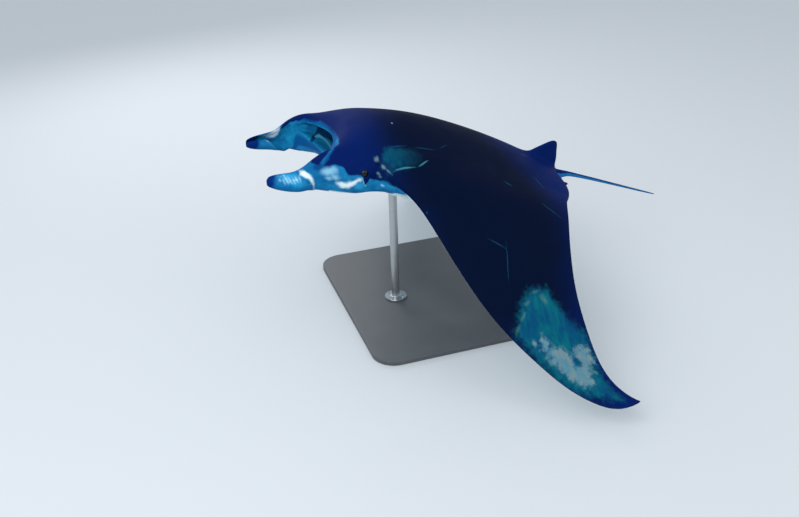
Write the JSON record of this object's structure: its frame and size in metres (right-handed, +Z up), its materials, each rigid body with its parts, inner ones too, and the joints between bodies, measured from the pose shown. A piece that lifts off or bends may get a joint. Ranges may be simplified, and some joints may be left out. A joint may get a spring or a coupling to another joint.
{
  "type": "manta ray",
  "caption": "Life-size reef manta ray gliding with drooping wings, open mouth and rolled head fins, held still by a flat base and rods.",
  "frame": {"origin": "centre of the stand base's underside, straight below the animal's centre of mass", "axes": "+Z up, +Y towards the tail, +X towards the animal's left wing"},
  "size_m": [2.8566, 2.3146, 1.118],
  "materials": {
    "hide": "damp rough skin, blue-black above and white below, with pale shoulder and wing-tip patches",
    "eye": "wet and glossy",
    "stand_plate": "satin dark grey paint",
    "stand_steel": "brushed"
  },
  "bodies": {
    "root": {"head": "hide", "lower_jaw": "hide", "cephalic_fin_left": "hide", "cephalic_fin_right": "hide", "eye_left": "eye", "eye_right": "eye", "trunk": "hide", "wing_left": "hide", "wing_right": "hide", "dorsal_fin": "hide", "pelvic_fin_left": "hide", "pelvic_fin_right": "hide", "tail_base": "hide", "tail_whip": "hide", "stand_base": "stand_plate", "stand_rod_front": "stand_steel", "stand_rod_rear": "stand_steel"}
  },
  "joints": []
}
